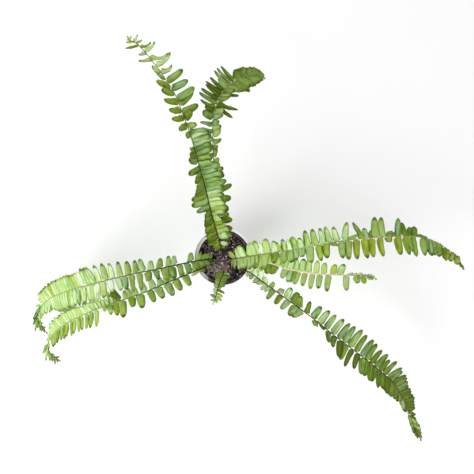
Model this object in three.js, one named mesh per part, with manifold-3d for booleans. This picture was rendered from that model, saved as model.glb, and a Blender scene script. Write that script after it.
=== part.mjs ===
// A sword fern in a plain white pot: the pot, its potting mix and eight fronds of paired leaflets.
// Units are millimetres. +Z is up and the origin is the middle of the pot's base.
// Seen from above, +X is to the right and +Y to the top of the view.
import * as THREE from 'three';
import { mergeGeometries, mergeVertices } from 'three/addons/utils/BufferGeometryUtils.js';
import Module from 'manifold-3d';

const wasm = await Module();
wasm.setup();

// Driving dimensions of the pot and its filling
const potHeight = 110;
const rimRadius = 64.5;
const rimBand = 8;          // height of the thickened rim
const rimLip = 5;           // how far the rim stands out from the wall
const rimWall = 4;
const edgeRound = 1.2;      // bevel on the base's and the rim's edges
const baseRadius = 43;
const wall = 2.6;
const ledgeDrop = 7;        // the small ledge inside, below the rim
const ledgeWidth = 5;
const floorThick = 4;
const drainHoles = 6;
const drainRadius = 4;
const drainCircle = 25;
const drainSides = 10;
const potSides = 40;         // the potting mix has as many, so that the gap stays even
const clearance = 0.3;      // gap between pieces that touch
const soilTop = 97;
const soilBottom = floorThick + clearance;
const soilRelief = 2;       // most that the top rises or falls from soilTop
const soilHump = 75;        // distance between its broad humps
const soilRings = 4;

// Driving dimensions of the fronds
const rachisRoot = 1.8;     // half the width of a stalk where it leaves the mix
const rachisTip = 0.6;
const shortFrond = 200;     // fronds under this length have the thin stalk
const shortRoot = 1.2;
const bareStep = 15;        // longest straight stretch of the bare stalk
const bladeThick = 0.8;
const lastLeaflet = 5;      // the last one grows at least this far from the tip
const chord = 2;            // how far each way a route is read for its direction
const stemHoleGap = 0.4;
const stemHoleStretches = 3; // enough to come out of the mix

// Each frond's route runs from its root in the mix to its tip. The lists of five hold values evenly
// spaced along the leafy stretch, which starts after the bare stalk. Left and right are the sides
// seen from the root, looking down. Angles are in degrees: sweep leans a leaflet towards the tip,
// lift raises it out of the frond's plane, and twist turns it about its own midrib.
const fronds = [
  {
    name: 'frond_upper_left', bare: 62, gap: [16, 15, 15, 18, 15],
    route: [[-1, 6, 80], [-3, 20, 122], [-8, 42, 160], [-21, 94, 222], [-32, 146, 275], [-42, 185, 308],
      [-54, 230, 336], [-67, 266, 348], [-82, 304, 346], [-103, 338, 338], [-120, 363, 326],
      [-139, 388, 312], [-160, 413, 290], [-182, 429, 262]],
    length: [24, 33, 39, 35, 14], width: [13, 13, 13, 10, 5],
    left: { lift: [45, 60, 66, 66, 50], sweep: [0, 10, 10, 5, 20], twist: [0, 0, 0, 30, 70] },
    right: { lift: [30, 22, 18, 20, 40], sweep: [5, 5, 0, 8, 30], twist: [0, 0, 0, 20, 75], skip: 4 },
  },
  {
    name: 'frond_top', bare: 62, gap: [18, 18, 17, 14, 11],
    route: [[6, 9, 80], [7, 23, 115], [4, 46, 145], [-5, 110, 190], [-14, 177, 238], [-16, 242, 272],
      [-14, 277, 286], [-6, 302, 288], [7, 328, 279], [26, 350, 255], [56, 369, 215], [88, 378, 165]],
    length: [22, 28, 36, 34, 14], width: [13, 12, 11, 12, 7],
    left: { lift: [50, 50, 32, 70, 75], sweep: [0, 10, 30, 0, 0], twist: [0, 0, 65, 20, 0], skip: 4 },
    right: { lift: [45, 60, 66, 30, 15], sweep: [0, 5, 5, -15, 10], twist: [0, 0, 0, 0, 0] },
  },
  {
    name: 'frond_left_high', bare: 64, gap: [18, 18, 17, 13, 12],
    route: [[-16, -4, 80], [-34, -4, 128], [-76, -10, 170], [-125, -20, 204], [-174, -29, 226],
      [-225, -41, 230], [-280, -56, 208], [-341, -75, 164], [-384, -95, 115], [-415, -124, 68],
      [-417, -152, 46], [-407, -175, 32]],
    length: [23, 31, 40, 40, 18], width: [14, 13.5, 12.5, 12, 7],
    left: { lift: [25, 32, 24, 16, 10], sweep: [0, 3, 0, 10, 34], twist: [0, 0, 0, 0, 0] },
    right: { lift: [40, 44, 36, 10, -40], sweep: [0, 0, -6, 5, 50], twist: [0, 0, 0, 0, 0] },
  },
  {
    name: 'frond_left_low', bare: 58, gap: [19, 19, 17, 15, 13],
    route: [[-19, -14, 80], [-34, -19, 116], [-69, -33, 140], [-121, -54, 158], [-169, -74, 172],
      [-223, -92, 178], [-268, -109, 166], [-305, -126, 144], [-343, -146, 116], [-373, -168, 92],
      [-392, -197, 76], [-392, -217, 58], [-376, -237, 42]],
    length: [21, 28, 34, 35, 16], width: [14, 13.5, 12.5, 9.5, 6],
    left: { lift: [30, 28, 28, 18, 10], sweep: [5, 12, 14, 12, 20], twist: [0, 0, 0, 0, 0] },
    right: { lift: [45, 42, 55, 20, -30], sweep: [0, 0, -20, -12, 45], twist: [0, 0, 0, 0, 0] },
  },
  {
    name: 'frond_right', bare: 46, gap: [16, 18, 17, 16, 11],
    route: [[12, -6, 80], [29, -2, 128], [75, 7, 170], [159, 21, 212], [236, 36, 236], [319, 44, 238],
      [390, 45, 220], [430, 37, 200], [472, 18, 170], [498, 1, 150], [518, -22, 130]],
    length: [27, 32, 40, 38, 16], width: [13.5, 13.5, 12.5, 11.5, 6],
    left: { lift: [20, 30, 12, -55, -70], sweep: [0, -3, -5, 0, 20], twist: [0, 0, 0, 0, 0] },
    right: { lift: [50, 52, 22, 14, 20], sweep: [5, 5, 5, 22, 12], twist: [0, 0, 0, 0, 0] },
  },
  {
    name: 'frond_right_short', bare: 66, gap: [17, 17, 17, 19, 12],
    route: [[19, -17, 80], [33, -15, 110], [63, -9, 134], [101, -11, 150], [132, -21, 158],
      [169, -29, 163], [207, -34, 160], [243, -36, 150], [280, -38, 138], [312, -41, 122], [332, -46, 112]],
    length: [21, 27, 33, 27, 7], width: [13, 12.5, 12, 11, 6],
    left: { lift: [50, 52, 48, 40, 30], sweep: [0, 0, 5, 5, 30], twist: [0, 0, 0, 0, 0] },
    right: { lift: [25, 20, 15, 20, 25], sweep: [0, 0, 5, 5, 30], twist: [0, 0, 0, 0, 0] },
  },
  {
    name: 'frond_lower_right', bare: 66, gap: [18, 18, 17, 16, 13],
    route: [[13, -25, 80], [29, -23, 108], [54, -30, 124], [87, -52, 140], [118, -74, 154],
      [180, -118, 180], [236, -162, 196], [288, -201, 198], [331, -236, 184], [360, -263, 166],
      [381, -295, 144], [401, -332, 118], [420, -372, 90], [444, -411, 66]],
    length: [21, 28, 40, 34, 15], width: [13, 13, 13, 12, 6],
    left: { lift: [20, 25, 15, 45, 84], sweep: [0, 0, 3, 15, 50], twist: [0, 0, 0, 0, 0] },
    right: { lift: [30, 35, 22, 45, 78], sweep: [5, 12, 35, 42, 50], twist: [0, 0, 0, 0, 0] },
  },
  {
    name: 'frond_short', bare: 44, gap: [8.5, 9, 9, 8.5, 7],
    route: [[2, -26, 80], [2, -32, 116], [-3, -45, 150], [-9, -61, 172], [-12, -77, 180], [-17, -92, 177]],
    length: [15, 17, 17, 15, 9], width: [8, 8, 8, 7, 4.5],
    left: { lift: [38, 38, 38, 38, 38], sweep: [5, 5, 5, 5, 5], twist: [0, 0, 0, 0, 0] },
    right: { lift: [52, 52, 52, 52, 52], sweep: [5, 5, 5, 5, 5], twist: [0, 0, 0, 0, 0] },
  },
];

// A leaflet's outline past its foot: how far along, then its two edges, as shares of its length and
// width. The front edge faces the frond's tip and has the small ear near the foot.
const longOutline = [
  { along: 0.15, front: 0.54, back: -0.44 },
  { along: 0.77, front: 0.46, back: -0.47 },
  { along: 1, front: 0.16, back: -0.18 },
];
const shortOutline = [
  { along: 0.4, front: 0.52, back: -0.5 },
  { along: 1, front: 0.26, back: -0.28 },
];
const longFrom = 23;        // leaflets at least this long have the finer outline
const widestShare = 0.82;   // of the room between a leaflet's neighbours on its side of the rachis
const leafletHook = 0.08;   // how far a leaflet curves towards the frond's tip
const leafletDroop = 0.12;  // how far its end hangs
const twistEnd = 0.35;      // share of a leaflet's length over which it turns about its midrib

// Most that a leaflet strays from its frond's values: in shares, and in degrees for the angles
const stray = { gap: 0.1, length: 0.08, width: 0.08, sweep: 4, lift: 6, twist: 10, droop: 0.06 };

const materials = {
  pot: new THREE.MeshStandardMaterial({ color: 0xf2f1ee, roughness: 0.45, metalness: 0 }),
  soil: new THREE.MeshStandardMaterial({ color: 0x2b2023, roughness: 0.95, metalness: 0 }),
  frond: new THREE.MeshStandardMaterial({ color: 0x7fa83a, roughness: 0.6, metalness: 0 }),
};

const degrees = Math.PI / 180;

// A repeatable draw between -1 and 1 from three whole numbers
function wobble(a, b, c) {
  const value = Math.sin(a * 12.9898 + b * 78.233 + c * 37.719) * 43758.5453;
  return 2 * (value - Math.floor(value)) - 1;
}

// The value at u between 0 and 1 of a list of evenly spaced values
function between(values, u) {
  const place = Math.min(Math.max(u, 0), 0.999999) * (values.length - 1);
  const index = Math.floor(place);
  return THREE.MathUtils.lerp(values[index], values[index + 1], place - index);
}

// A closed solid from a geometry: its shared corners are merged and its flat slivers dropped
function toManifold(geometry) {
  geometry.deleteAttribute('normal');
  geometry.deleteAttribute('uv');
  const merged = mergeVertices(geometry, 1e-4);
  const index = merged.index.array;
  const kept = [];
  for (let i = 0; i < index.length; i += 3) {
    const [a, b, c] = [index[i], index[i + 1], index[i + 2]];
    if (a !== b && b !== c && c !== a) kept.push(a, b, c);
  }
  const mesh = new wasm.Mesh({
    numProp: 3,
    vertProperties: Float32Array.from(merged.attributes.position.array),
    triVerts: Uint32Array.from(kept),
  });
  return new wasm.Manifold(mesh);
}

function toGeometry(solid) {
  const mesh = solid.getMesh();
  const geometry = new THREE.BufferGeometry();
  geometry.setAttribute('position', new THREE.BufferAttribute(mesh.vertProperties, 3));
  geometry.setIndex(new THREE.BufferAttribute(mesh.triVerts, 1));
  geometry.computeVertexNormals();
  return geometry;
}

// A body turned about Z from a list of [radius, height] points, lowest first
function turned(points, sides) {
  const profile = points.map(([radius, height]) => new THREE.Vector2(radius, height));
  return new THREE.LatheGeometry(profile, sides).rotateX(Math.PI / 2);
}

// Pot
const mouthRadius = rimRadius - rimWall;
const ledgeHeight = potHeight - ledgeDrop;
const ledgeRadius = mouthRadius - ledgeWidth;
const bandBottom = potHeight - rimBand;

function outerRadius(height) {
  return THREE.MathUtils.lerp(baseRadius, rimRadius - rimLip, height / bandBottom);
}

// The inner wall below the ledge
function innerRadius(height) {
  const share = (height - floorThick) / (ledgeHeight - floorThick);
  return THREE.MathUtils.lerp(baseRadius - wall, ledgeRadius, share);
}

function makePot() {
  const body = turned([
    [0, 0], [baseRadius - edgeRound, 0], [baseRadius, edgeRound],
    [outerRadius(bandBottom), bandBottom], [rimRadius, bandBottom + edgeRound],
    [rimRadius, potHeight - edgeRound], [rimRadius - edgeRound, potHeight],
    [mouthRadius + 0.5 * edgeRound, potHeight], [mouthRadius, potHeight - 0.5 * edgeRound],
    [mouthRadius, ledgeHeight], [ledgeRadius, ledgeHeight],
    [innerRadius(floorThick), floorThick], [0, floorThick],
  ], potSides);
  let pot = toManifold(body);
  for (let k = 0; k < drainHoles; k++) {
    const angle = (k + 0.5) * 2 * Math.PI / drainHoles;
    const hole = new THREE.CylinderGeometry(drainRadius, drainRadius, 3 * floorThick, drainSides);
    hole.rotateX(Math.PI / 2).translate(drainCircle * Math.cos(angle), drainCircle * Math.sin(angle), 0);
    pot = pot.subtract(toManifold(hole));
  }
  return pot;
}

// A frond's route, with lengths measured along it
class Frond {
  constructor(data, index) {
    Object.assign(this, data);
    this.index = index;
    const points = data.route.map((point) => new THREE.Vector3(...point));
    this.curve = new THREE.CatmullRomCurve3(points, false, 'catmullrom', 0.5);
    this.curve.arcLengthDivisions = 400;
    this.total = this.curve.getLength();
    this.rootHalf = this.total < shortFrond ? shortRoot : rachisRoot;
    this.leaflets = this.placeLeaflets();
    this.stations = this.placeStations();
  }

  at(distance) {
    const point = this.curve.getPointAt(THREE.MathUtils.clamp(distance / this.total, 0, 1));
    if (distance < 0) point.addScaledVector(this.curve.getTangentAt(0), distance);
    return point;
  }

  // Along the rachis, to its right, and out of the frond's upper face
  axes(distance) {
    const along = this.at(distance + chord).sub(this.at(distance - chord)).normalize();
    const aside = new THREE.Vector3().crossVectors(along, new THREE.Vector3(0, 0, 1)).normalize();
    const above = new THREE.Vector3().crossVectors(aside, along);
    return { along, aside, above };
  }

  // Half the rachis' width
  half(distance) {
    return THREE.MathUtils.lerp(this.rootHalf, rachisTip, Math.max(distance, 0) / this.total);
  }

  // Leaflets alternate: right, left, right, left, from the end of the bare stalk to the tip
  placeLeaflets() {
    const leafy = this.total - this.bare;
    const list = [];
    let distance = this.bare;
    for (let k = 0; distance < this.total - lastLeaflet; k++) {
      const u = (distance - this.bare) / leafy;
      list.push({ distance, u, k: Math.floor(k / 2), side: k % 2 === 0 ? 1 : -1 });
      distance += 0.5 * between(this.gap, u) * (1 + stray.gap * wobble(this.index, k, 3));
    }
    list.forEach((leaflet, k) => {
      const before = leaflet.distance - (list[k - 2]?.distance ?? -Infinity);
      const after = (list[k + 2]?.distance ?? Infinity) - leaflet.distance;
      leaflet.room = Math.min(before, after);
    });
    return list;
  }

  // Where the rachis is divided: evenly on the bare stalk, then halfway between the leaflets, so
  // that each leaflet has one stretch of the rachis as its foot
  placeStations() {
    const spots = this.leaflets.map((leaflet) => leaflet.distance);
    const firstHalf = 0.5 * (spots[1] - spots[0]);
    const bareEnd = spots[0] - firstHalf;
    const bareStretches = Math.ceil(bareEnd / bareStep);
    const bare = Array.from({ length: bareStretches }, (_, k) => bareEnd * k / bareStretches);
    const halfway = spots.slice(1).map((spot, k) => 0.5 * (spot + spots[k]));
    this.leaflets.forEach((leaflet, k) => { leaflet.stretch = bareStretches + k; });
    return [...bare, bareEnd, ...halfway, this.total];
  }

  // A corner of the rachis' square section: right or left, upper or lower
  corner(distance, side, level, extra = 0) {
    const { aside, above } = this.axes(distance);
    const half = this.half(distance) + extra;
    return this.at(distance).addScaledVector(aside, side * half).addScaledVector(above, level * half);
  }
}

// A square rod through the given stations of a route. Its local X runs along, and +Y is the left.
function makeRod(frond, stations, extra) {
  const stretches = stations.length - 1;
  const rod = new THREE.BoxGeometry(1, 1, 1, stretches, 1, 1);
  const place = rod.attributes.position;
  for (let i = 0; i < place.count; i++) {
    const distance = stations[Math.round((place.getX(i) + 0.5) * stretches)];
    const corner = frond.corner(distance, -Math.sign(place.getY(i)), Math.sign(place.getZ(i)), extra);
    place.setXYZ(i, corner.x, corner.y, corner.z);
  }
  return rod;
}

// Takes quads out of one of a box geometry's six groups of faces, in the order px, nx, py, ny, pz, nz
function dropQuads(geometry, groupNumber, quads) {
  const { start } = geometry.groups[groupNumber];
  const gone = new Set(quads.map((quad) => start + 6 * quad));
  const index = Array.from(geometry.index.array);
  const kept = index.filter((_, i) => !gone.has(i - i % 6));
  geometry.setIndex(kept);
}

// A box splits its upper and lower faces along opposite diagonals. This splits the lower ones as the
// upper ones are split, so that the two faces of a twisted blade stay apart.
function splitAlike(geometry) {
  const index = geometry.index;
  const { start, count } = geometry.groups[5];
  for (let i = start; i < start + count; i += 6) {
    const [a, b, d, c] = [0, 1, 2, 4].map((step) => index.getX(i + step));
    [a, b, c, a, c, d].forEach((corner, step) => index.setX(i + step, corner));
  }
}

// Turns every triangle round, for a left leaflet, which is the mirror image of a right one
function turnRound(geometry) {
  const index = geometry.index;
  for (let i = 0; i < index.count; i += 3) {
    const second = index.getX(i + 1);
    index.setX(i + 1, index.getX(i + 2));
    index.setX(i + 2, second);
  }
}

// One leaflet: a thin box bent by formula, whose foot is one side of its stretch of the rachis
function makeLeaflet(frond, leaflet) {
  const { side, k, distance, u, stretch, room } = leaflet;
  const data = side > 0 ? frond.right : frond.left;
  const draw = (channel) => wobble(frond.index + 7 * channel, k, side * 5 + channel);
  const length = between(frond.length, u) * (1 + stray.length * draw(1));
  const width = Math.min(between(frond.width, u) * (1 + stray.width * draw(2)), widestShare * room);
  const sweep = (between(data.sweep, u) + stray.sweep * draw(3)) * degrees;
  const lift = (between(data.lift, u) + stray.lift * draw(4)) * degrees;
  const twist = (between(data.twist, u) + stray.twist * draw(5)) * degrees;
  const droop = leafletDroop + stray.droop * draw(6);

  const { along, aside, above } = frond.axes(distance);
  const sideways = aside.clone().multiplyScalar(side);
  const lifted = sideways.clone().multiplyScalar(Math.cos(lift)).addScaledVector(above, Math.sin(lift));
  const upper = above.clone().multiplyScalar(Math.cos(lift)).addScaledVector(sideways, -Math.sin(lift));
  const out = lifted.clone().multiplyScalar(Math.cos(sweep)).addScaledVector(along, Math.sin(sweep));

  const outline = length < longFrom ? shortOutline : longOutline;
  const rows = outline.length;
  const blade = new THREE.BoxGeometry(1, 1, 1, rows, 1, 1);
  splitAlike(blade);
  const place = blade.attributes.position;
  for (let i = 0; i < place.count; i++) {
    const row = Math.round((place.getX(i) + 0.5) * rows);
    const front = place.getY(i) > 0;
    if (row === 0) {
      const corner = frond.corner(frond.stations[stretch + (front ? 1 : 0)], side, Math.sign(place.getZ(i)));
      place.setXYZ(i, corner.x, corner.y, corner.z);
      continue;
    }
    const { along: share, front: frontEdge, back: backEdge } = outline[row - 1];
    const turn = twist * Math.min(1, share / twistEnd);
    const across = along.clone().multiplyScalar(Math.cos(turn)).addScaledVector(upper, Math.sin(turn));
    const face = upper.clone().multiplyScalar(Math.cos(turn)).addScaledVector(along, -Math.sin(turn));
    const bend = length * share * share;
    const point = frond.at(distance)
      .addScaledVector(sideways, frond.half(distance))
      .addScaledVector(out, length * share)
      .addScaledVector(along, leafletHook * bend)
      .addScaledVector(face, place.getZ(i) * bladeThick)
      .addScaledVector(upper, -droop * bend)
      .addScaledVector(across, width * (front ? frontEdge : backEdge));
    place.setXYZ(i, point.x, point.y, point.z);
  }
  dropQuads(blade, 1, [0]);
  if (side < 0) turnRound(blade);
  return blade;
}

// The rachis with the sides of its leafy stretches opened, and a leaflet grown from each opening
function makeFrond(frond) {
  const rod = makeRod(frond, frond.stations, 0);
  const grown = frond.leaflets.filter(({ side, k }) => k >= ((side > 0 ? frond.right : frond.left).skip ?? 0));
  const stretchesOn = (side) => grown.filter((leaflet) => leaflet.side === side).map(({ stretch }) => stretch);
  dropQuads(rod, 3, stretchesOn(1));
  dropQuads(rod, 2, stretchesOn(-1));
  const parts = [rod, ...grown.map((leaflet) => makeLeaflet(frond, leaflet))];
  return toManifold(mergeGeometries(parts));
}

// Potting mix: a turned body with a gently uneven top and a plain hole for each stalk
function soilHeight(x, y) {
  const [u, v] = [2 * Math.PI * x / soilHump, 2 * Math.PI * y / soilHump];
  const broad = Math.sin(u + 1) * Math.cos(1.1 * v);
  const fine = Math.sin(1.3 * u + 2.6 * v);
  return soilTop + soilRelief * (0.6 * broad + 0.4 * fine);
}

function makeSoil(list) {
  const foot = innerRadius(soilBottom) - clearance;
  const edge = innerRadius(soilTop - soilRelief) - clearance;
  const rings = Array.from({ length: soilRings + 1 }, (_, k) => [edge * (1 - k / soilRings), soilTop]);
  const body = turned([[0, soilBottom], [foot, soilBottom], ...rings], potSides);
  const place = body.attributes.position;
  for (let i = 0; i < place.count; i++) {
    if (place.getZ(i) === soilTop) place.setZ(i, soilHeight(place.getX(i), place.getY(i)));
  }
  let soil = toManifold(body);
  for (const frond of list) {
    const stations = frond.stations.slice(0, stemHoleStretches + 1);
    stations[0] = -stemHoleGap;
    soil = soil.subtract(toManifold(makeRod(frond, stations, stemHoleGap)));
  }
  return soil;
}

function addPiece(name, solid, material) {
  const mesh = new THREE.Mesh(toGeometry(solid), material);
  mesh.name = name;
  plant.add(mesh);
}

const plant = new THREE.Group();
const routes = fronds.map((data, index) => new Frond(data, index));
addPiece('pot', makePot(), materials.pot);
addPiece('soil', makeSoil(routes), materials.soil);
for (const frond of routes) addPiece(frond.name, makeFrond(frond), materials.frond);

export default plant;
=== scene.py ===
import math
import random
from bisect import bisect_right

import bmesh
import bpy
from mathutils import Matrix, Vector, noise


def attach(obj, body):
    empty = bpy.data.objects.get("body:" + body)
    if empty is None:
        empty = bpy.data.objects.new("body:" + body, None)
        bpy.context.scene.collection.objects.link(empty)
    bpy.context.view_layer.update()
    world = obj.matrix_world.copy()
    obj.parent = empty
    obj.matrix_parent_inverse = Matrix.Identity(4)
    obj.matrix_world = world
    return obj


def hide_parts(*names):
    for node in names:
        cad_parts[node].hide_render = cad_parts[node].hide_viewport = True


mm = 0.001
fullTurn = 2 * math.pi
weldDistance = 1e-6
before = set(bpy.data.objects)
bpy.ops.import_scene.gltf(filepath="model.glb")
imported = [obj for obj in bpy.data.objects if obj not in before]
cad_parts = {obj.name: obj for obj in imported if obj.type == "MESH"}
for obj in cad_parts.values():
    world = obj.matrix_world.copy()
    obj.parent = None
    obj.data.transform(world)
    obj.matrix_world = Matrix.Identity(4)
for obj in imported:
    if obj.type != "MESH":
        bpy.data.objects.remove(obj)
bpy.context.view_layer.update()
print("frame loaded")


def feed(tree, socket, value):
    # a socket is linked, a value is set
    if isinstance(value, bpy.types.NodeSocket):
        tree.links.new(value, socket)
    else:
        socket.default_value = value


def addNode(tree, kind, settings=None, **inputs):
    # inputs are given by socket name, with _ for a space
    node = tree.nodes.new(kind)
    for key, value in (settings or {}).items():
        setattr(node, key, value)
    for key, value in inputs.items():
        feed(tree, node.inputs[key.replace("_", " ")], value)
    return node


def calc(tree, operation, *values):
    node = addNode(tree, "ShaderNodeMath", {"operation": operation})
    for socket, value in zip(node.inputs, values):
        feed(tree, socket, value)
    return node.outputs[0]


def times(tree, product, *others):
    for other in others:
        product = calc(tree, "MULTIPLY", product, other)
    return product


def blend(tree, factor, low, high, mode="MIX"):
    node = addNode(tree, "ShaderNodeMix", {"data_type": "RGBA", "blend_type": mode, "clamp_factor": True})
    for index, value in ((0, factor), (6, low), (7, high)):  # 6 and 7 are the colour sockets
        feed(tree, node.inputs[index], value)
    return node.outputs[2]


def spread(tree, value, fromLow, fromHigh, toLow=0.0, toHigh=1.0):
    node = addNode(tree, "ShaderNodeMapRange", {"interpolation_type": "SMOOTHSTEP"},
                   Value=value, From_Min=fromLow, From_Max=fromHigh, To_Min=toLow, To_Max=toHigh)
    return node.outputs[0]


def fade(tree, value, start, end):
    # from 0 to 1 between two places, given in millimetres
    return spread(tree, value, start * mm, end * mm)


def vectorValue(tree, operation, *vectors):
    # a length or a distance
    node = addNode(tree, "ShaderNodeVectorMath", {"operation": operation})
    for socket, vector in zip(node.inputs, vectors):
        feed(tree, socket, vector)
    return node.outputs["Value"]


def objectCoords(tree):
    return addNode(tree, "ShaderNodeTexCoord").outputs["Object"]


def grain(tree, scale, detail, vector=None):
    coords = vector or objectCoords(tree)
    return addNode(tree, "ShaderNodeTexNoise", Vector=coords, Scale=scale, Detail=detail).outputs["Fac"]


def patchy(tree, scale, detail, low, high, toLow=0.0, toHigh=1.0):
    return spread(tree, grain(tree, scale, detail), low, high, toLow, toHigh)


def bump(tree, height, strength, distance):
    node = addNode(tree, "ShaderNodeBump", Height=height, Strength=strength, Distance=distance)
    return node.outputs["Normal"]


def readAttribute(tree, name):
    return addNode(tree, "ShaderNodeAttribute", {"attribute_name": name}).outputs["Fac"]


def startMaterial(name):
    material = bpy.data.materials.new(name)
    material.use_nodes = True
    material.node_tree.nodes.clear()
    return material, material.node_tree


def finishMaterial(tree, shader):
    tree.links.new(shader, addNode(tree, "ShaderNodeOutputMaterial").inputs["Surface"])


def finishSurface(tree, colour, **inputs):
    shader = addNode(tree, "ShaderNodeBsdfPrincipled", Base_Color=colour, **inputs)
    finishMaterial(tree, shader.outputs[0])


def addObject(name, data):
    thing = bpy.data.objects.new(name, data)
    bpy.context.scene.collection.objects.link(thing)
    return thing


def makeMesh(name, bm, materials=()):
    mesh = bpy.data.meshes.new(name)
    bm.to_mesh(mesh)
    bm.free()
    for material in materials:
        mesh.materials.append(material)
    return mesh


def newPiece(name, bm, materials, slot, *nodes):
    mesh = makeMesh(name, bm, materials)
    mesh.shade_smooth()
    piece = addObject(name, mesh)
    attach(piece, "root")
    if nodes:
        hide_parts(*nodes)
    return piece


def keepOrder(bm):
    # spin and extrude leave points and faces in an order that changes from run to run
    def rank(spot):
        return spot.x + 1e3 * spot.y + 1e6 * spot.z

    bm.verts.sort(key=lambda v: rank(v.co))
    bm.faces.sort(key=lambda face: rank(face.calc_center_median()))


def spinShell(profile, sides):
    # a closed shell from radii and heights that start and end on the axis
    bm = bmesh.new()
    verts = [bm.verts.new((radius * mm, 0, height * mm)) for radius, height in profile]
    edges = [bm.edges.new(pair) for pair in zip(verts, verts[1:])]
    bmesh.ops.spin(bm, geom=verts + edges, axis=(0, 0, 1), cent=(0, 0, 0), steps=sides,
                   angle=fullTurn, use_merge=True)
    bmesh.ops.remove_doubles(bm, verts=bm.verts, dist=weldDistance)
    bmesh.ops.recalc_face_normals(bm, faces=bm.faces)
    keepOrder(bm)
    return bm


def wobble(a, b, c):
    # a repeatable draw between -1 and 1, from the digits far down in a sine
    value = math.sin(a * 12.9898 + b * 78.233 + c * 37.719) * 43758.5453
    return 2 * (value - math.floor(value)) - 1


def between(values, u):
    # the value at u between 0 and 1 of a list of evenly spaced values
    place = min(max(u, 0.0), 0.999999) * (len(values) - 1)
    index = int(place)
    return values[index] + (values[index + 1] - values[index]) * (place - index)


# the pot: a spun shell with drain holes cut through its floor
pot = dict(height=110, rimRadius=64.6, rimBand=8, rimLip=5.2, rimWall=4.2, baseRadius=43, wall=2.6,
           ledgeDrop=7, ledgeSlope=0.8, ledgeWidth=5.8, floorThick=4, drainHoles=6, drainRadius=4,
           drainSides=24, drainCircle=25, footRing=1.0, footWidth=5, sides=128)
mouth = pot["rimRadius"] - pot["rimWall"]
ledge = pot["height"] - pot["ledgeDrop"]

# Dust lies thin all over and thicker towards the foot. Mix has spilled over the ledge at the right, and it
# reaches from there down the wall under the ledge. At the left the wall above it is painted lilac-grey as
# painted shade.
potLook = dict(white=(0.95, 0.95, 0.955, 1), dust=(0.52, 0.5, 0.47, 1), spill=(0.02, 0.012, 0.014, 1),
               paintedCreaseShade=(0.2, 0.18, 0.26, 1), dustAll=0.04, dustFoot=0.5, footHeight=30, speckles=0.06,
               spillAbove=(3, 0.5), spillBelow=(-0.8, -0.5), wallHeight=(86, 90), wallRadius=(56.2, 55.8),
               spillSlant=-0.35, spillRagged=0.05, spillSide=(-5, 20),
               paintedCreaseShadeHeight=(0.3, 1.2), paintedCreaseShadeSide=(-5, -35), paintedCreaseShadeShare=(0.1, 0.9))


def potMaterial():
    look = potLook
    material, tree = startMaterial("potPlastic")
    x, y, z = addNode(tree, "ShaderNodeSeparateXYZ", Vector=objectCoords(tree)).outputs
    radius = vectorValue(tree, "LENGTH", addNode(tree, "ShaderNodeCombineXYZ", X=x, Y=y).outputs[0])
    foot = spread(tree, z, look["footHeight"] * mm, 0.0, 0.0, look["dustFoot"])
    dirt = times(tree, patchy(tree, 28, 5, 0.35, 0.75), calc(tree, "ADD", look["dustAll"], foot))
    speckle = times(tree, patchy(tree, 260, 4, 0.62, 0.72), look["speckles"])
    colour = blend(tree, calc(tree, "ADD", dirt, speckle), look["white"], look["dust"])

    above, below = ([ledge + height for height in look[key]] for key in ("spillAbove", "spillBelow"))
    atLedge = times(tree, fade(tree, z, *above), fade(tree, z, *below))
    atWall = times(tree, fade(tree, z, *look["wallHeight"]), fade(tree, radius, *look["wallRadius"]))
    inside = fade(tree, radius, mouth - 0.1, mouth - 0.7)
    slant = calc(tree, "MULTIPLY_ADD", y, look["spillSlant"], x)
    ragged = calc(tree, "MULTIPLY_ADD", grain(tree, 150, 3), look["spillRagged"], slant)
    spilled = times(tree, inside, calc(tree, "MAXIMUM", atLedge, atWall),
                    fade(tree, ragged, *look["spillSide"]), patchy(tree, 420, 3, 0.35, 0.5, 0.85, 1.0))
    colour = blend(tree, spilled, colour, look["spill"])

    # painted shade: the inner wall between rim and ledge goes lilac-grey, a little all round and most on the
    # left, away from the lamp
    low, high = (ledge + height for height in look["paintedCreaseShadeHeight"])
    start, end = (side * mm for side in look["paintedCreaseShadeSide"])
    paintedCreaseShade = times(tree, fade(tree, radius, mouth + 0.5, mouth), fade(tree, z, low, high),
                 spread(tree, x, start, end, *look["paintedCreaseShadeShare"]))
    colour = blend(tree, paintedCreaseShade, colour, look["paintedCreaseShade"])
    finishSurface(tree, colour, Roughness=patchy(tree, 45, 4, 0.3, 0.7, 0.32, 0.46),
                  Normal=bump(tree, grain(tree, 900, 2), 0.06, 0.0004))
    return material


def drillHoles(piece):
    drill = bmesh.new()
    for k in range(pot["drainHoles"]):
        turn = Matrix.Rotation((k + 0.5) * fullTurn / pot["drainHoles"], 4, "Z")
        place = turn @ Matrix.Translation((pot["drainCircle"] * mm, 0, 0))
        bmesh.ops.create_cone(drill, cap_ends=True, segments=pot["drainSides"], matrix=place,
                              radius1=pot["drainRadius"] * mm, radius2=pot["drainRadius"] * mm,
                              depth=4 * pot["floorThick"] * mm)
    cutter = addObject("drill", makeMesh("drill", drill))
    cut = piece.modifiers.new("drain", "BOOLEAN")
    cut.operation, cut.solver, cut.object = "DIFFERENCE", "EXACT", cutter
    view = bpy.context.evaluated_depsgraph_get()
    drilled = bpy.data.meshes.new_from_object(piece.evaluated_get(view))
    piece.modifiers.clear()
    piece.data = drilled
    bpy.data.objects.remove(cutter)


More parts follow.
